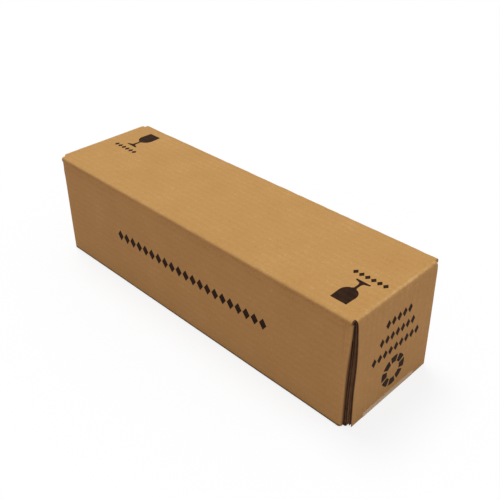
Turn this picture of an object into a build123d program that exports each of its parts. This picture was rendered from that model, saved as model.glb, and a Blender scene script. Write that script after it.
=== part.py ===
"""A one-bottle shipping box: one folded sheet of corrugated board, taped shut at both ends.

Millimetres. +X runs along the box to the end with the overlapping flaps in view, the long side
in front faces -Y, and +Z is up. The box lies on its bottom panel, with the middle of its
underside at the origin.
"""
import os

from build123d import *

# Outside size of the closed box.
length = 370.0
width = 109.0
height = 106.0

# Corrugated board and its folds. The flutes run along the box, and so up and down its flaps.
board = 2.5
liner = 0.4
core = board - 2 * liner
fold_inside = 0.5
fold_middle = fold_inside + board / 2
fold_outside = fold_inside + board
crease_outside = 2.0
flute_pitch = 6.5
flute_count = 14
flute_web = 0.35
flute_slope = 27.0
flute_depth = 3.0
edge_groove_depth = 1.8

# Flaps. The slots between neighbours inset them from the box's corners. The slots were cut out of
# register, deeper at the far end, and the outer flaps were closed a little askew.
flap_inset = 4.6
slot_depth = 6.0
slot_shift = 1.5
layer_gap = 0.2
layer_pitch = board + layer_gap
end_fold_middle = 1.5
lean_out = 1.0
outer_skew = 3.2
outer_shift = 1.0
outer_flap_lift = 0.6
inner_flap_gap = 1.5
dust_flap_length = 48.0
dust_push_in = 8.0
dust_foot = 1.2
dust_lift = 0.3
dust_head_gap = 4.2
dust_slit = 0.15

# Glued seam along the hidden lower edge of the back panel.
seam_tab = 32.0
seam_tab_setback = 10.0
seam_step = 0.8

# Closing tape: a short strip along the foot of each outer flap, pressed flush into the underside.
tape_film = 0.1
tape_run = 68.0
tape_up = 5.5
tape_under = 42.5
tape_bend = 0.3

half_width = width / 2
flap_breadth = width - 2 * flap_inset
dust_breadth = height - dust_foot - dust_head_gap

# Middle planes of the stacked end layers, from the outer flap inwards.
outer_foot = length / 2 - tape_film - board / 2
outer_head = outer_foot - lean_out
inner_foot = outer_foot - layer_pitch
inner_head = outer_head - layer_pitch
dust_fold = outer_foot - 2 * layer_pitch

# Where the slots and the dust flaps' folds begin.
near_slot = length / 2 - slot_depth + slot_shift
far_slot = -length / 2 + slot_depth + slot_shift
flap_root = dust_fold - 2 * fold_middle

# Middle lines of one end's flaps: from its root along the panel, round the fold and down the flap.
outer_line = [
    (flap_root, height - board / 2),
    (outer_head, height - board / 2),
    (outer_foot, outer_flap_lift),
]
inner_line = [
    (flap_root, board / 2),
    (inner_foot, board / 2),
    (inner_head, height - board - inner_flap_gap),
]
back_dust_line = [
    (flap_root, half_width - board / 2),
    (dust_fold, half_width - board / 2),
    (dust_fold - dust_push_in, half_width - dust_flap_length),
]
front_dust_line = [(x, -y) for x, y in back_dust_line]

# The outer flap's slope, and the tape's middle line against its outer face.
lean_slope = lean_out / (height - board / 2 - outer_flap_lift)
tape_stand = (board + tape_film) / 2 * (1 + lean_slope**2) ** 0.5


def tape_x(z):
    """Distance along the box of the tape's middle, at a height on the outer flap."""
    return outer_foot + tape_stand - lean_slope * (z - outer_flap_lift)


def bent_strip(line, thickness, radius):
    """Draws a folded strip of board, in section, along its middle line."""
    with BuildLine() as middle:
        FilletPolyline(*line, radius=radius)
    trace(middle.edges(), line_width=thickness)


def wide_strip(line, thickness, radius):
    """Folds a strip of board as wide as the box."""
    with BuildSketch(Plane.XZ) as strip:
        bent_strip(line, thickness, radius)
    extrude(strip.sketch, amount=half_width, both=True)


def flap_shadow(head, foot, inset, mode):
    """Keeps or removes what lies within a flap's outline, from where its head and foot are centred."""
    reach = flap_breadth / 2 - inset
    with BuildSketch(Plane.YZ) as outline:
        Polygon(
            (head - reach, height),
            (foot - reach, 0),
            (foot + reach, 0),
            (head + reach, height),
            align=None,
        )
    extrude(outline.sketch, amount=length, mode=mode)


def long_flap(line, radius, head, foot):
    """Folds out a flap of the top or bottom panel, its slotted edges open between the liners."""
    with BuildPart(mode=Mode.PRIVATE) as channels:
        wide_strip(line, core, radius)
        flap_shadow(head, foot, edge_groove_depth, Mode.SUBTRACT)
    with BuildPart(mode=Mode.PRIVATE) as flap:
        wide_strip(line, board, radius)
        flap_shadow(head, foot, 0, Mode.INTERSECT)
        add(channels.part, mode=Mode.SUBTRACT)
    add(flap.part)


def dust_flap(line):
    """Folds in a flap of a side panel. Past its fold it stands clear above the bottom panel."""
    with BuildPart(mode=Mode.PRIVATE) as flap:
        with BuildSketch(Plane.XY.offset(dust_foot)) as strip:
            bent_strip(line, board, fold_middle)
        extrude(strip.sketch, amount=dust_breadth, dir=(-lean_slope, 0, 1))
        Box(2 * length, width - 2 * fold_outside, 2 * (board + dust_lift), mode=Mode.SUBTRACT)
    add(flap.part)


def flute_row(count, side):
    """Draws the open ends of the flutes along one liner of a flap's free edge."""
    with Locations((0, side * core / 2)):
        with GridLocations(flute_pitch, 0, count, 1):
            Trapezoid(
                flute_pitch - 2 * flute_web,
                core - flute_web,
                flute_slope,
                rotation=90 + 90 * side,
                align=(Align.CENTER, Align.MIN),
            )


# Wrapped panels, with the back panel's seam tab glued down on the inside of the bottom panel. The
# tab stops short of the dust flaps.
with BuildPart() as wrap:
    with BuildSketch(Plane.YZ.offset(far_slot)):
        with Locations((0, height / 2)):
            RectangleRounded(width, height, crease_outside)
            RectangleRounded(width - 2 * board, height - 2 * board, fold_inside, mode=Mode.SUBTRACT)
        with Locations((half_width, 0)):
            Rectangle(2 * fold_outside, 2 * (fold_outside + board), mode=Mode.SUBTRACT)
        with Locations((half_width - seam_step, 0)):
            Rectangle(fold_outside, board, align=(Align.MAX, Align.MIN))
        with Locations((half_width - seam_step, board / 2)):
            Rectangle(2 * edge_groove_depth, core, mode=Mode.SUBTRACT)
    extrude(amount=near_slot - far_slot)
    with BuildSketch(Plane.YZ):
        with BuildLine():
            FilletPolyline(
                (half_width - board / 2, 2 * (fold_outside + board)),
                (half_width - board / 2, 1.5 * board),
                (half_width - seam_tab, 1.5 * board),
                radius=fold_middle,
            )
        trace(line_width=board)
    extrude(amount=flap_root, both=True)
    with Locations((flap_root, 0, board), (-flap_root, 0, board)):
        Box(
            2 * seam_tab_setback,
            width - 2 * (fold_outside + layer_gap),
            fold_outside + board,
            align=(Align.CENTER, Align.CENTER, Align.MIN),
            mode=Mode.SUBTRACT,
        )

# The side and bottom panels end at the dust flaps' folds, below the slots in the top panel's edges.
with BuildPart() as trimmed_ends:
    with BuildSketch(Plane.XZ):
        with Locations((flap_root + fold_middle - lean_out, height - dust_head_gap + dust_slit)):
            Rectangle(slot_depth, height, align=(Align.MIN, Align.MAX))
    extrude(amount=width, both=True)
    with Locations((length / 2, 0, 2 * board)):
        Box(
            length,
            width - 2 * fold_outside,
            height,
            align=(Align.CENTER, Align.CENTER, Align.MIN),
            mode=Mode.SUBTRACT,
        )

# The four flaps of one end, with the flutes open along the outer flap's free edge.
free_edge = Plane(
    (outer_foot, outer_skew - outer_shift, outer_flap_lift),
    x_dir=(0, 1, 0),
    z_dir=(lean_slope, 0, -1),
)
with BuildPart() as end_flaps:
    long_flap(outer_line, end_fold_middle, -outer_shift, outer_skew - outer_shift)
    with BuildSketch(free_edge):
        flute_row(flute_count, 1)
        flute_row(flute_count - 1, -1)
    extrude(amount=-flute_depth, mode=Mode.SUBTRACT)
    long_flap(inner_line, fold_middle, 0, 0)
    dust_flap(front_dust_line)
    dust_flap(back_dust_line)

# Clear tape, from under the bottom panel round the foot of the outer flap.
with BuildPart() as near_end_tape:
    with BuildSketch(Plane.XZ):
        with BuildLine():
            FilletPolyline(
                (length / 2 - tape_under, tape_film / 2),
                (tape_x(tape_film / 2), tape_film / 2),
                (tape_x(tape_up), tape_up),
                radius=tape_bend,
            )
        trace(line_width=tape_film)
    extrude(amount=tape_run / 2, both=True)

with BuildPart() as far_end_tape:
    mirror(near_end_tape.part, about=Plane.YZ)

with BuildPart() as carton:
    add(wrap.part)
    add(trimmed_ends.part, mode=Mode.SUBTRACT)
    mirror(trimmed_ends.part, about=Plane.YZ, mode=Mode.SUBTRACT)
    add(end_flaps.part)
    mirror(end_flaps.part, about=Plane.YZ)
    add(near_end_tape.part, mode=Mode.SUBTRACT)
    add(far_end_tape.part, mode=Mode.SUBTRACT)

os.makedirs("parts", exist_ok=True)
carton.part.label = "carton"
export_step(carton.part, "parts/carton.step")
near_end_tape.part.label = "near_end_tape"
export_step(near_end_tape.part, "parts/near_end_tape.step")
far_end_tape.part.label = "far_end_tape"
export_step(far_end_tape.part, "parts/far_end_tape.step")
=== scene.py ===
"""Looks of the bottle shipping box: worn kraft board with painted shade, shadow and highlight, printed
marks, clear tape, stage and camera.
"""
import math

import bmesh
import bpy
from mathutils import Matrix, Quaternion, Vector, noise


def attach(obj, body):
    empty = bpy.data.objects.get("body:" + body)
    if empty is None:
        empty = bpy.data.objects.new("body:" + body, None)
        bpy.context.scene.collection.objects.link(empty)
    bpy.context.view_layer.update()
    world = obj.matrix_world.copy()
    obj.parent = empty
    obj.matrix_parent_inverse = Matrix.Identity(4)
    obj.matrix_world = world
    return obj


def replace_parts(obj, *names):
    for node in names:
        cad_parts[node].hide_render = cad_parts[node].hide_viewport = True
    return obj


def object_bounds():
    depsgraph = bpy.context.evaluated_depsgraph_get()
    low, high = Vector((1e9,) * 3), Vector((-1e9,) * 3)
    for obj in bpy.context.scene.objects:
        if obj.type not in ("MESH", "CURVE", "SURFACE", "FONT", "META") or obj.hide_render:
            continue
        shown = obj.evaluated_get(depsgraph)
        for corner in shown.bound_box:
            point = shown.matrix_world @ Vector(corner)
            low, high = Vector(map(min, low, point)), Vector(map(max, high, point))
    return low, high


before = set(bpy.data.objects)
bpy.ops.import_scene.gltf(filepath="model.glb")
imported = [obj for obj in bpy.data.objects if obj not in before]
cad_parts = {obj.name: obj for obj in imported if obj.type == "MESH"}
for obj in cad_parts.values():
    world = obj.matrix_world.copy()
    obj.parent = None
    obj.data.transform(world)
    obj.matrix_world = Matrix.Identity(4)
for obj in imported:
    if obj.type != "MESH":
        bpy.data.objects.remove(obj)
CAD_LOW, CAD_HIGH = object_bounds()
CENTRE = (CAD_LOW + CAD_HIGH) / 2
HALF = (CAD_HIGH - CAD_LOW) / 2
MM = 0.001
X, Y, Z = range(3)

# Camera, found from the box's edges in the 500 x 500 photograph
IMAGE_WIDTH = 500
FOCAL_PIXELS = 699.9
SENSOR = 36.0
CAMERA_PLACE = Vector((0.3906, -0.3647, 0.4105))
CAMERA_AZIMUTH = 44.779
CAMERA_ELEVATION = 33.703
CAMERA_ROLL = -0.056

# Wear: one smooth field moves every point of the board, print and tape, inside the CAD box
CELL = Vector((4.0, 5.0, 5.0)) * MM
CUT_TOLERANCE = 1e-7
SEAM_TOLERANCE = 1e-6
PANEL_DIP = Vector((0.04, 0.10, 0.10)) * MM
MIDDLE_DIP = Vector((0.05, 0.25, 0.30)) * MM
PANEL_RIPPLE = Vector((0.10, 0.15, 0.15)) * MM
RIPPLE_LENGTH = 55 * MM
DIP_DECAY = 6
CRUSH_REACH = 3.5 * MM
CRUSH_FINE = 0.40 * MM
CRUSH_FINE_LENGTH = 8 * MM
CRUSH_BROAD = 0.20 * MM
CRUSH_BROAD_LENGTH = 38 * MM
END_CRUSH = 0.60 * MM
HEAD_PRESS = 0.4 * MM
HEAD_REACH = 60 * MM
HEAD_RUN = 20 * MM
NOISE_GAIN = 0.7
DIAGONAL = math.sqrt(0.5)

# Dents in millimetres: a push, and along the axes the places where it starts and where it is full
DENTS = {
    "far shoulder of the flaps": {
        "push": (0, 3.8, 0),
        "growth": ((X, -177.5, -182), (Y, -51.9, -50.9), (Y, -35.9, -51.9), (Z, 90, 103)),
    },
    "near edges of the flaps": {
        "push": (0, 1.8, 0),
        "growth": ((X, 176, 178.5), (Y, -51.9, -50.9), (Y, -35.9, -51.9), (Z, 30, 70), (Z, 112, 76)),
    },
    "near fold of the front panel": {
        "push": (2.8, 0, 0),
        "growth": ((X, 175.5, 178), (Y, -50.6, -51.8), (Z, 45, 105), (Z, 101.9, 101.85)),
    },
}

# Board: a smooth stretch of it that is smaller than the liner area is a cut edge
FLUTE_PITCH = 6.5 * MM
LINER_AREA = 80 * MM * 100 * MM
FOLD_ANGLE = math.radians(35)
OUTER_FLAP_HEAD = 183.9 * MM
OUTER_FLAP_LEAN = 0.0096
# the pale band on the end folds, rubbed wear and partly painted highlight, is set this far back from
# the flap heads
END_RUB_AND_HIGHLIGHT_SETBACK = 2.0 * MM
END_FACING = 0.99
SIDE_FACING = 0.7

# Lengths in the materials are in millimetres
TOP_MM = 2 * HALF.z / MM
SIDE_MM = HALF.y / MM
# reach of the pale fold band, rubbed wear and partly painted highlight
RUB_AND_HIGHLIGHT_REACH = 3.0

# Bands of the materials: the place where each starts and the place where it is full
ON_SIDES = (SIDE_MM - 1.3, SIDE_MM - 0.6)
# painted shade: a darker band on the long sides just under the top folds
SHADE_UNDER_FOLD = (TOP_MM - 16, TOP_MM - 3)
# the pale fold band, rubbed wear and partly painted highlight, is off at the foot and full from this
# height
RUB_AND_HIGHLIGHT_RISE = (4.0, 12.0)
# painted shadow: a dark band along the foot of the long sides, where the box meets the floor
FOOT_SHADE = (3.8, 2.0)
# painted shade: the next four bands mark where the board behind the outer end flaps is darkened
BEHIND_FLAP = (0.3, 2.3)
RECESS_BESIDE = (SIDE_MM - 1.1, SIDE_MM - 3.4)
RECESS_BELOW = (TOP_MM - 0.7, TOP_MM - 2.5)
RECESS_ABOVE = (0.2, 1.5)
# where the cut edges' painted shade fades out toward the back
UNSHADED_BACK_EDGES = (30.0, 46.0)

# Shares from 0 to 1 in the materials, and the levels of noise that a ramp runs over
MIDDLE_TONE = 0.5
# how dark the painted contact shadow at the foot gets
FOOT_SHADOW_DARKEST = 0.90
INK_THINNESS = 0.3
TAPE_ALPHA = 0.44
WIDE = (0.2, 0.8)
NARROW = (0.3, 0.7)

# Print
INK_PROUD = 0.04 * MM
INK_SUNK = 0.05 * MM
ARC_STEPS = 8
LOZENGE_SHARE = 0.88

# Stage
FLOOR_SIZE = 12.0
KEY_FROM = Vector((-0.95, 0.25, 2.60))
KEY_STRENGTH = 1.55
KEY_COLOUR = (1.0, 1.0, 1.0)
KEY_SPREAD = math.radians(25)
FILL_FROM = Vector((2.5, 0.1, 0.9))
FILL_STRENGTH = 0.37
FILL_COLOUR = (0.92, 1.0, 1.35)
FILL_SPREAD = math.radians(90)
SKY_LEVEL = 0.535
FLOOR_GLOW = 0.82


def srgb(red, green, blue):
    """Linear colour of an 8-bit display colour."""
    def linear(value):
        share = value / 255
        return share / 12.92 if share <= 0.04045 else ((share + 0.055) / 1.055) ** 2.4
    return (linear(red), linear(green), linear(blue), 1.0)


# Colours
KRAFT = srgb(187, 141, 81)
KRAFT_DARK = srgb(157, 112, 59)
KRAFT_PALE = srgb(213, 171, 113)
# colour of the painted shade on the board behind the outer end flaps
KRAFT_RECESS_SHADE = srgb(112, 76, 46)
# colour of the painted contact shadow along the foot of the long sides
KRAFT_FOOT_SHADOW = srgb(58, 36, 20)
# the cut edges are painted darker than their own colour as shade; the unshaded colour is their own
RAW_EDGE = srgb(150, 114, 80)
RAW_EDGE_DARK = srgb(84, 58, 36)
RAW_EDGE_UNSHADED = srgb(178, 136, 90)
INK = srgb(35, 19, 8)
INK_THIN = srgb(60, 38, 22)
TAPE_FILM = srgb(255, 226, 178)
TAPE_FILM_HAZY = srgb(252, 218, 166)
WHITE = (1.0, 1.0, 1.0, 1.0)
PAPER_LEVEL = srgb(252, 252, 252)[0] * (1 - FLOOR_GLOW)
FLOOR_WHITE = (PAPER_LEVEL, PAPER_LEVEL, PAPER_LEVEL, 1.0)
FLOOR_BOUNCE = (0.545, 0.455, 0.54, 1.0)

# Sockets that the mix node has for colours
MIX_SHARE = 0
MIX_FIRST = 6
MIX_SECOND = 7
MIX_RESULT = 2


class Shader:
    """The node tree of a material or world, with short calls that add nodes and join them."""

    def __init__(self, block):
        block.use_nodes = True
        self.tree = block.node_tree
        self.surface = self.tree.nodes.get("Principled BSDF")

    def node(self, kind, **settings):
        made = self.tree.nodes.new(kind)
        for name, value in settings.items():
            setattr(made, name, value)
        return made

    def join(self, value, socket):
        """Feeds a socket from another one, or sets it to a plain value."""
        if isinstance(value, bpy.types.NodeSocket):
            self.tree.links.new(value, socket)
        else:
            socket.default_value = value

    def give(self, name, value):
        """Feeds or sets one input of the surface."""
        self.join(value, self.surface.inputs[name])

    def place(self, stretch=(1, 1, 1)):
        """The surface point in millimetres of the row frame, each axis divided by its stretch."""
        scaled = self.node("ShaderNodeVectorMath", operation="MULTIPLY")
        self.join(self.node("ShaderNodeTexCoord").outputs["Object"], scaled.inputs[0])
        self.join([1 / (share * MM) for share in stretch], scaled.inputs[1])
        return scaled.outputs[0]

    def split(self, vector):
        parts = self.node("ShaderNodeSeparateXYZ")
        self.join(vector, parts.inputs[0])
        return [parts.outputs[axis] for axis in "XYZ"]

    def math(self, operation, *values):
        made = self.node("ShaderNodeMath", operation=operation)
        for value, socket in zip(values, made.inputs):
            self.join(value, socket)
        return made.outputs[0]

    def noise(self, size, detail=2.0, stretch=(1, 1, 1)):
        """Noise from 0 to 1 whose blotches are about size millimetres across."""
        made = self.node("ShaderNodeTexNoise")
        self.join(self.place(stretch), made.inputs["Vector"])
        made.inputs["Scale"].default_value = 1 / size
        made.inputs["Detail"].default_value = detail
        return made.outputs["Fac"]

    def specks(self, size, reach):
        """A speck in each cell of size millimetres: 1 at its middle, 0 at a share reach of the cell."""
        made = self.node("ShaderNodeTexVoronoi")
        self.join(self.place(), made.inputs["Vector"])
        made.inputs["Scale"].default_value = 1 / size
        return self.ramp(made.outputs["Distance"], reach, 0.0)

    def ramp(self, value, start, end, low=0.0, high=1.0):
        """Low up to the start, high from the end on, and a smooth step between them."""
        made = self.node("ShaderNodeMapRange", interpolation_type="SMOOTHSTEP")
        for number, socket in zip((value, start, end, low, high), made.inputs):
            self.join(number, socket)
        return made.outputs[0]

    def swing(self, value, amount):
        """A value from 0 to 1 as a change from -amount to +amount."""
        return self.math("MULTIPLY_ADD", value, 2 * amount, -amount)

    def chain(self, operation, values):
        result = values[0]
        for value in values[1:]:
            result = self.math(operation, result, value)
        return result

    def total(self, *values):
        return self.chain("ADD", values)

    def product(self, *values):
        return self.chain("MULTIPLY", values)

    def least(self, *values):
        return self.chain("MINIMUM", values)

    def blend(self, share, first, second):
        """The first colour where the share is 0, the second where it is 1."""
        made = self.node("ShaderNodeMix", data_type="RGBA")
        self.join(share, made.inputs[MIX_SHARE])
        self.join(first, made.inputs[MIX_FIRST])
        self.join(second, made.inputs[MIX_SECOND])
        return made.outputs[MIX_RESULT]

    def bump(self, height, depth):
        """Bump whose height of 1 stands depth millimetres proud."""
        made = self.node("ShaderNodeBump")
        made.inputs["Distance"].default_value = depth * MM
        self.join(height, made.inputs["Height"])
        self.give("Normal", made.outputs[0])


def fold_nearness(shader, reach):
    """1 on the box's long folds and its end folds, 0 from reach millimetres away."""
    end_crease = OUTER_FLAP_HEAD - HEAD_PRESS - END_RUB_AND_HIGHLIGHT_SETBACK
    halves = (end_crease, HALF.y, HALF.z)
    gaps = []
    for value, centre, half in zip(shader.split(shader.place()), CENTRE, halves):
        offset = shader.math("SUBTRACT", value, centre / MM)
        gaps.append(shader.math("SUBTRACT", half / MM, shader.math("ABSOLUTE", offset)))
    distances = []
    for one, other in ((Y, Z), (X, Z), (X, Y)):
        square = shader.math("MULTIPLY", gaps[other], gaps[other])
        squares = shader.math("MULTIPLY_ADD", gaps[one], gaps[one], square)
        distances.append(shader.math("SQRT", squares))
    return shader.ramp(shader.least(*distances), reach, 0.0)


def end_recess_shade(shader):
    """Painted shade mask: 1 on the board that lies behind the outer end flaps, 0 on their faces and on
    the long panels.
    """
    x, y, z = shader.split(shader.place())
    upright = shader.math("SUBTRACT", OUTER_FLAP_HEAD / MM, shader.math("ABSOLUTE", x))
    foot_gap = shader.math("ADD", upright, OUTER_FLAP_LEAN * TOP_MM)
    leaning = shader.math("MULTIPLY_ADD", z, -OUTER_FLAP_LEAN, foot_gap)
    press = shader.ramp(z, TOP_MM - HEAD_REACH / MM, TOP_MM, high=HEAD_PRESS / MM)
    behind = shader.ramp(shader.math("SUBTRACT", leaning, press), *BEHIND_FLAP)
    beside = shader.ramp(shader.math("ABSOLUTE", y), *RECESS_BESIDE)
    below = shader.ramp(z, *RECESS_BELOW)
    above = shader.ramp(z, *RECESS_ABOVE)
    return shader.product(behind, beside, below, above)


def flute_wave(shader):
    """The liner's washboard, from 0 to 1: a wave along Z on the long sides, and along Y elsewhere."""
    _, y, z = shader.split(shader.place())
    normal = shader.node("ShaderNodeTexCoord").outputs["Normal"]
    sideways = shader.math("ABSOLUTE", shader.split(normal)[Y])
    on_side = shader.math("GREATER_THAN", sideways, SIDE_FACING)
    along_y = shader.math("MULTIPLY", y, shader.math("SUBTRACT", 1.0, on_side))
    run = shader.math("MULTIPLY_ADD", z, on_side, along_y)
    wander = shader.swing(shader.noise(size=60.0), amount=1.2)
    turn = shader.math("MULTIPLY_ADD", run, 2 * math.pi * MM / FLUTE_PITCH, wander)
    return shader.math("MULTIPLY_ADD", shader.math("SINE", turn), 0.5, 0.5)


def kraft_board():
    material = bpy.data.materials.new("kraft_liner")
    shader = Shader(material)
    _, y, z = shader.split(shader.place())
    wave = flute_wave(shader)
    blotches = shader.noise(size=28.0, detail=3.0)
    grain = shader.noise(size=1.7, detail=3.0)
    fibres_along = shader.noise(size=0.9, stretch=(5.0, 0.6, 0.6))
    fibres_round = shader.noise(size=0.9, stretch=(0.6, 5.0, 5.0))
    dark_flecks = shader.specks(size=4.5, reach=0.11)
    pale_flecks = shader.specks(size=3.6, reach=0.10)
    patches = shader.ramp(shader.noise(size=9.0), *WIDE, low=0.4)
    # rubbed wear and partly painted highlight: a pale band along the folds, only above the foot
    rub_and_highlight = shader.product(fold_nearness(shader, RUB_AND_HIGHLIGHT_REACH), patches, shader.ramp(z, *RUB_AND_HIGHLIGHT_RISE))
    on_sides = shader.ramp(shader.math("ABSOLUTE", y), *ON_SIDES)
    # painted shade under the top folds, darkening the long sides below the crease
    shade_under_fold = shader.product(on_sides, shader.ramp(z, *SHADE_UNDER_FOLD))
    # painted shadow: the foot of the long sides is painted near-black as contact shadow
    foot = shader.product(on_sides, shader.ramp(z, *FOOT_SHADE, high=FOOT_SHADOW_DARKEST))
    tone = shader.total(
        MIDDLE_TONE,
        shader.swing(blotches, amount=0.16),
        shader.swing(grain, amount=0.30),
        shader.swing(fibres_along, amount=0.18),
        shader.swing(fibres_round, amount=0.18),
        shader.swing(wave, amount=0.035),
        shader.product(dark_flecks, -0.55),
        shader.product(pale_flecks, 0.40),
        shader.product(rub_and_highlight, 0.32),
        shader.product(shade_under_fold, -0.13),
    )
    darker = shader.blend(shader.ramp(tone, 0.0, MIDDLE_TONE), KRAFT_DARK, KRAFT)
    open_board = shader.blend(shader.ramp(tone, MIDDLE_TONE, 1.0), darker, KRAFT_PALE)
    # painted shade on the board behind the end flaps
    shaded_board = shader.blend(end_recess_shade(shader), open_board, KRAFT_RECESS_SHADE)
    relief = shader.total(
        shader.product(fibres_along, 0.35),
        shader.product(fibres_round, 0.35),
        shader.product(grain, 0.5),
        shader.product(wave, 0.3),
    )
    shader.give("Base Color", shader.blend(foot, shaded_board, KRAFT_FOOT_SHADOW))
    shader.give("Roughness", shader.ramp(grain, *WIDE, low=0.78, high=0.95))
    shader.give("Specular IOR Level", 0.25)
    shader.bump(relief, depth=0.09)
    return material


def raw_edge():
    material = bpy.data.materials.new("raw_board_edge")
    shader = Shader(material)
    _, y, _ = shader.split(shader.place())
    pulp = shader.noise(size=0.5, detail=3.0)
    layers = shader.noise(size=1.4, stretch=(0.4, 1.0, 3.0))
    tone = shader.total(MIDDLE_TONE, shader.swing(pulp, amount=0.5), shader.swing(layers, amount=0.5))
    # painted shade: the cut edges are darkened, with pulp and layer noise
    edge_with_painted_shade = shader.blend(tone, RAW_EDGE_DARK, RAW_EDGE)
    # toward the back the painted shade lifts to the edges' own paler colour
    fresh = shader.ramp(y, *UNSHADED_BACK_EDGES)
    shader.give("Base Color", shader.blend(fresh, edge_with_painted_shade, RAW_EDGE_UNSHADED))
    shader.give("Roughness", shader.ramp(pulp, *WIDE, low=0.88, high=1.0))
    shader.give("Specular IOR Level", 0.15)
    shader.bump(shader.total(pulp, layers), depth=0.12)
    return material


def print_ink():
    material = bpy.data.materials.new("print_ink")
    shader = Shader(material)
    wave = flute_wave(shader)
    grain = shader.noise(size=0.8, detail=4.0)
    patches = shader.noise(size=7.0)
    bare = shader.specks(size=1.9, reach=0.13)
    thin = shader.total(
        shader.swing(grain, amount=0.9),
        shader.swing(patches, amount=0.5),
        shader.swing(wave, amount=-0.15),
        INK_THINNESS,
    )
    inked = shader.blend(thin, INK, INK_THIN)
    shader.give("Base Color", shader.blend(bare, inked, KRAFT_DARK))
    shader.give("Roughness", shader.ramp(grain, *NARROW, low=0.55, high=0.75))
    shader.give("Specular IOR Level", 0.05)
    shader.bump(grain, depth=0.03)
    return material


def tape_film():
    material = bpy.data.materials.new("clear_tape_film")
    shader = Shader(material)
    haze = shader.noise(size=9.0, stretch=(1.0, 3.0, 1.0))
    creases = shader.noise(size=2.6, detail=3.0, stretch=(1.0, 4.0, 0.6))
    shader.give("Base Color", shader.blend(haze, TAPE_FILM, TAPE_FILM_HAZY))
    shader.give("Roughness", shader.ramp(creases, *NARROW, low=0.22, high=0.40))
    shader.give("Alpha", TAPE_ALPHA)
    shader.bump(creases, depth=0.02)
    return material


def seen_directly(shader):
    """1 for rays that come straight from the camera, a glossy surface or a clear one, else 0."""
    rays = shader.node("ShaderNodeLightPath").outputs
    mirrored = shader.math("MAXIMUM", rays["Is Glossy Ray"], rays["Is Transmission Ray"])
    return shader.math("MAXIMUM", rays["Is Camera Ray"], mirrored)


def floor_paper():
    material = bpy.data.materials.new("floor_paper")
    shader = Shader(material)
    seen = seen_directly(shader)
    shader.give("Base Color", shader.blend(seen, FLOOR_BOUNCE, FLOOR_WHITE))
    shader.give("Emission Color", WHITE)
    shader.give("Emission Strength", shader.product(seen, FLOOR_GLOW))
    shader.give("Roughness", 1.0)
    shader.give("Specular IOR Level", 0.0)
    return material


def studio_world():
    world = bpy.data.worlds.new("studio")
    shader = Shader(world)
    level = shader.math("MULTIPLY_ADD", seen_directly(shader), 1 - SKY_LEVEL, SKY_LEVEL)
    background = shader.tree.nodes["Background"]
    shader.join(WHITE, background.inputs["Color"])
    shader.join(level, background.inputs["Strength"])
    return world


def sun_lamp(name, place, strength, spread, colour):
    """A sun that shines from a place towards the row's origin."""
    lamp = bpy.data.lights.new(name, "SUN")
    lamp.energy = strength
    lamp.angle = spread
    lamp.color = colour
    lamp_object = bpy.data.objects.new(name, lamp)
    lamp_object.location = place
    lamp_object.rotation_mode = "QUATERNION"
    lamp_object.rotation_quaternion = (-place).to_track_quat("-Z", "Y")
    bpy.context.collection.objects.link(lamp_object)


def unevenness(place, wavelength):
    """Smooth noise from 0 to 1."""
    return min(max(0.5 + NOISE_GAIN * noise.noise(place / wavelength), 0.0), 1.0)


def smooth_step(share):
    """A smooth rise from 0 to 1 over shares from 0 to 1."""
    share = min(max(share, 0.0), 1.0)
    return share * share * (3 - 2 * share)


def dented(place):
    """The push of all dents at a point."""
    total = Vector()
    for dent in DENTS.values():
        share = 1.0
        for axis, start, full in dent["growth"]:
            share *= smooth_step((place[axis] / MM - start) / (full - start))
        total += Vector(dent["push"]) * (share * MM)
    return total


def worn(place):
    """Where a point of the new box lies on the handled one."""
    away = place - CENTRE
    share = [away[axis] / HALF[axis] for axis in (X, Y, Z)]
    side = [math.copysign(1.0, value) for value in share]
    moved = place.copy()

    # Panels dip, most in their middle
    for axis in (X, Y, Z):
        one, other = [share[across] for across in (X, Y, Z) if across != axis]
        middle = max(1 - one ** 2, 0) * max(1 - other ** 2, 0)
        ripple = PANEL_RIPPLE[axis] * unevenness(place, RIPPLE_LENGTH)
        depth = PANEL_DIP[axis] + MIDDLE_DIP[axis] * middle + ripple
        moved[axis] -= side[axis] * min(abs(share[axis]), 1.0) ** DIP_DECAY * depth

    # The heads of both ends are pressed in, and some corners are dented
    pressed = smooth_step((abs(place.x) - HALF.x + HEAD_RUN) / HEAD_RUN)
    pressed *= smooth_step((place.z - CAD_HIGH.z + HEAD_REACH) / HEAD_REACH)
    moved.x -= side[X] * HEAD_PRESS * pressed
    moved += dented(place)

    # The upper folds are crushed here and there, and the end folds a little all along
    fine = CRUSH_FINE * unevenness(place, CRUSH_FINE_LENGTH) ** 2
    broad = CRUSH_BROAD * unevenness(place, CRUSH_BROAD_LENGTH) ** 2
    for axis, even in ((Y, 0.0), (X, END_CRUSH)):
        gap = math.hypot(HALF[axis] - abs(away[axis]), CAD_HIGH.z - place.z)
        crush = (fine + broad + even) * math.exp(-((gap / CRUSH_REACH) ** 2))
        moved[axis] -= side[axis] * crush * DIAGONAL
        moved.z -= crush * DIAGONAL
    return moved


def cut_in_cells(shape):
    """Cuts the faces along a grid, so that they can follow the wear."""
    for axis in (X, Y, Z):
        direction = Vector([float(along == axis) for along in (X, Y, Z)])
        count = int(2 * HALF[axis] / CELL[axis])
        for step in range(-(count // 2), count // 2 + 1):
            everything = shape.verts[:] + shape.edges[:] + shape.faces[:]
            point = CENTRE + direction * (step * CELL[axis])
            bmesh.ops.bisect_plane(
                shape, geom=everything, dist=CUT_TOLERANCE, plane_co=point, plane_no=direction
            )


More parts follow.
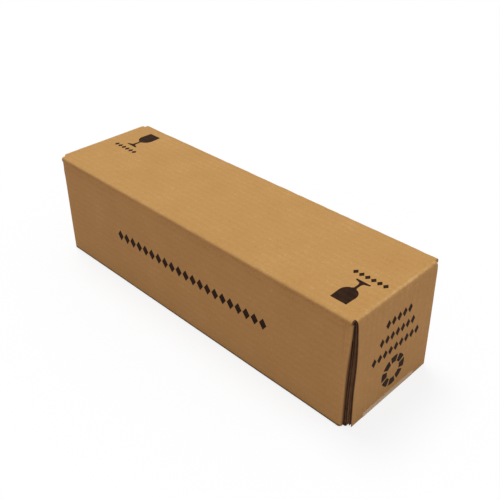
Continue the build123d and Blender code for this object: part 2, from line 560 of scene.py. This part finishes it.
def find_cut_edges(shape):
    """Gives cut board edges material 1: they are the small smooth stretches, liners the large ones."""
    unseen = set(shape.faces)
    while unseen:
        stretch = [unseen.pop()]
        for face in stretch:
            for edge in face.edges:
                if edge.is_manifold and edge.calc_face_angle() < FOLD_ANGLE:
                    fresh = [near for near in edge.link_faces if near in unseen]
                    unseen.difference_update(fresh)
                    stretch.extend(fresh)
        if sum(face.calc_area() for face in stretch) < LINER_AREA:
            for face in stretch:
                face.material_index = 1


def worn_piece(name, shape, materials):
    """Makes a piece of a closed shape: cut in cells, worn, smooth except at its sharp edges."""
    cut_in_cells(shape)
    for vertex in shape.verts:
        vertex.co = worn(vertex.co)
    mesh = bpy.data.meshes.new(name)
    shape.to_mesh(mesh)
    shape.free()
    for polygon in mesh.polygons:
        polygon.use_smooth = True
    mesh.set_sharp_from_angle(angle=FOLD_ANGLE)
    for material in materials:
        mesh.materials.append(material)
    piece = bpy.data.objects.new(name, mesh)
    bpy.context.collection.objects.link(piece)
    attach(piece, "root")
    return piece


def node_shape(node):
    """A copy of a CAD node's mesh, with its seams closed."""
    shape = bmesh.new()
    shape.from_mesh(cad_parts[node].data)
    bmesh.ops.remove_doubles(shape, verts=shape.verts, dist=SEAM_TOLERANCE)
    for face in shape.faces:
        face.material_index = 0
    return shape


def lozenge(middle, level, width, height):
    """A plain diamond shape, in millimetres."""
    corners = ((width / 2, 0), (0, height / 2), (-width / 2, 0), (0, -height / 2))
    return [(middle + x, level + y) for x, y in corners]


def lozenge_row(middle, level, count, pitch, height):
    """A row of plain diamond shapes that almost touch, in millimetres."""
    first = middle - pitch * (count - 1) / 2
    width = LOZENGE_SHARE * pitch
    return [lozenge(first + pitch * step, level, width, height) for step in range(count)]


def arc(middle, level, radius, turns):
    """The points of a circle at some turns round its middle, in millimetres."""
    return [(middle + radius * math.cos(turn), level + radius * math.sin(turn)) for turn in turns]


def block_ring(middle, level, inside, outside, count, share):
    """A ring of plain blocks, each over a share of its part of the circle, in millimetres."""
    spread = [share * (corner / ARC_STEPS - 0.5) for corner in range(ARC_STEPS + 1)]
    blocks = []
    for step in range(count):
        turns = [2 * math.pi * (step + offset) / count for offset in spread]
        blocks.append(arc(middle, level, outside, turns) + arc(middle, level, inside, turns[::-1]))
    return blocks


def glass_outline(middle, foot, width, height):
    """A plain stemmed glass that stands on the level foot, in millimetres."""
    foot_reach = 0.42 * width
    foot_edge = foot + 0.045 * height
    foot_slope = foot + 0.10 * height
    stem = 0.075 * width
    stem_flare = 1.8 * stem
    stem_low = foot + 0.17 * height
    stem_high = foot + 0.34 * height
    bowl_low = foot + 0.38 * height
    bowl_depth = 0.27 * height
    bowl_swell = 0.5 * width - stem
    rim_reach = 0.47 * width
    right = [
        (foot_reach, foot),
        (foot_reach, foot_edge),
        (stem_flare, foot_slope),
        (stem, stem_low),
        (stem, stem_high),
    ]
    for step in range(1, ARC_STEPS + 1):
        turn = math.radians(90 * step / ARC_STEPS)
        right.append((stem + bowl_swell * math.sin(turn), bowl_low + bowl_depth * (1 - math.cos(turn))))
    right.append((rim_reach, foot + height))
    left = [(-x, y) for x, y in reversed(right)]
    return [(middle + x, y) for x, y in right + left]


def near_end_plane():
    """The near end's outer flap: its plane's point below the box's middle, and the way up along it."""
    outer = [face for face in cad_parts["carton"].data.polygons if face.normal.x > END_FACING]
    flap = max(outer, key=lambda face: (round(face.center.x, 3), face.area))
    up = Vector((-flap.normal.z, 0, flap.normal.x))
    foot = flap.center - up * (flap.center.z / up.z)
    return Vector((foot.x, 0, 0)), up


def printed(name, outlines, face_point, right, up):
    """Ink plates on a flat face, from outlines in millimetres along right and up from face_point."""
    right = Vector(right)
    up = Vector(up)
    out = right.cross(up)
    shape = bmesh.new()
    for outline in outlines:
        corners = [face_point + right * (x * MM) + up * (y * MM) - out * INK_SUNK for x, y in outline]
        plate = shape.faces.new([shape.verts.new(corner) for corner in corners])
        made = bmesh.ops.extrude_face_region(shape, geom=[plate])["geom"]
        for vertex in [item for item in made if isinstance(item, bmesh.types.BMVert)]:
            vertex.co += out * (INK_SUNK + INK_PROUD)
    bmesh.ops.recalc_face_normals(shape, faces=shape.faces)
    return worn_piece(name, shape, [INK_MATERIAL])


KRAFT_MATERIAL = kraft_board()
EDGE_MATERIAL = raw_edge()
INK_MATERIAL = print_ink()
TAPE_MATERIAL = tape_film()

# Board and tape
carton_shape = node_shape("carton")
find_cut_edges(carton_shape)
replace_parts(worn_piece("carton_board", carton_shape, [KRAFT_MATERIAL, EDGE_MATERIAL]), "carton")
for tape in ("near_end_tape", "far_end_tape"):
    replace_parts(worn_piece(tape + "_film", node_shape(tape), [TAPE_MATERIAL]), tape)

# Printed marks on the top, the long side in front and the near end
TOP_POINT = Vector((0, 0, CAD_HIGH.z))
FRONT_POINT = Vector((0, CAD_LOW.y, 0))
END_POINT, END_UP = near_end_plane()

far_marks = lozenge_row(middle=-150.6, level=3.3, count=6, pitch=5.5, height=6.2)
far_marks.append(glass_outline(middle=-151, foot=10.7, width=16, height=31.3))
printed("top_marks_far", far_marks, TOP_POINT, (1, 0, 0), (0, 1, 0))

near_marks = lozenge_row(middle=-159.4, level=5.0, count=6, pitch=5.5, height=6.2)
near_marks.append(glass_outline(middle=-158.2, foot=11.6, width=15.4, height=30.5))
printed("top_marks_near", near_marks, TOP_POINT, (-1, 0, 0), (0, -1, 0))

front_marks = lozenge_row(middle=3.5, level=54.8, count=21, pitch=9.3, height=11.5)
printed("front_marks", front_marks, FRONT_POINT, (1, 0, 0), (0, 0, 1))

end_marks = block_ring(middle=2.3, level=26.5, inside=8.0, outside=15.0, count=8, share=0.8)
end_marks += lozenge_row(middle=2.0, level=80.5, count=5, pitch=7.0, height=9.0)
end_marks += lozenge_row(middle=2.0, level=66, count=7, pitch=6.7, height=9.0)
end_marks += lozenge_row(middle=2.0, level=51.6, count=9, pitch=7.0, height=9.0)
printed("end_marks", end_marks, END_POINT, (0, 1, 0), END_UP)

# Floor and light
bpy.ops.mesh.primitive_plane_add(size=FLOOR_SIZE)
floor = bpy.context.object
floor.name = "floor"
floor.data.materials.append(floor_paper())
sun_lamp("key", KEY_FROM, KEY_STRENGTH, KEY_SPREAD, KEY_COLOUR)
sun_lamp("fill", FILL_FROM, FILL_STRENGTH, FILL_SPREAD, FILL_COLOUR)
bpy.context.scene.world = studio_world()
bpy.context.scene.view_settings.view_transform = "Standard"

# Camera
camera = bpy.data.cameras.new("camera")
camera.sensor_width = SENSOR
camera.lens = SENSOR * FOCAL_PIXELS / IMAGE_WIDTH
camera_object = bpy.data.objects.new("camera", camera)
azimuth = math.radians(CAMERA_AZIMUTH)
elevation = math.radians(CAMERA_ELEVATION)
flat = math.cos(elevation)
view_line = Vector((-math.sin(azimuth) * flat, math.cos(azimuth) * flat, -math.sin(elevation)))
roll = Quaternion((0, 0, 1), math.radians(CAMERA_ROLL))
camera_object.location = CAMERA_PLACE
camera_object.rotation_mode = "QUATERNION"
camera_object.rotation_quaternion = view_line.to_track_quat("-Z", "Y") @ roll
bpy.context.collection.objects.link(camera_object)
bpy.context.scene.camera = camera_object
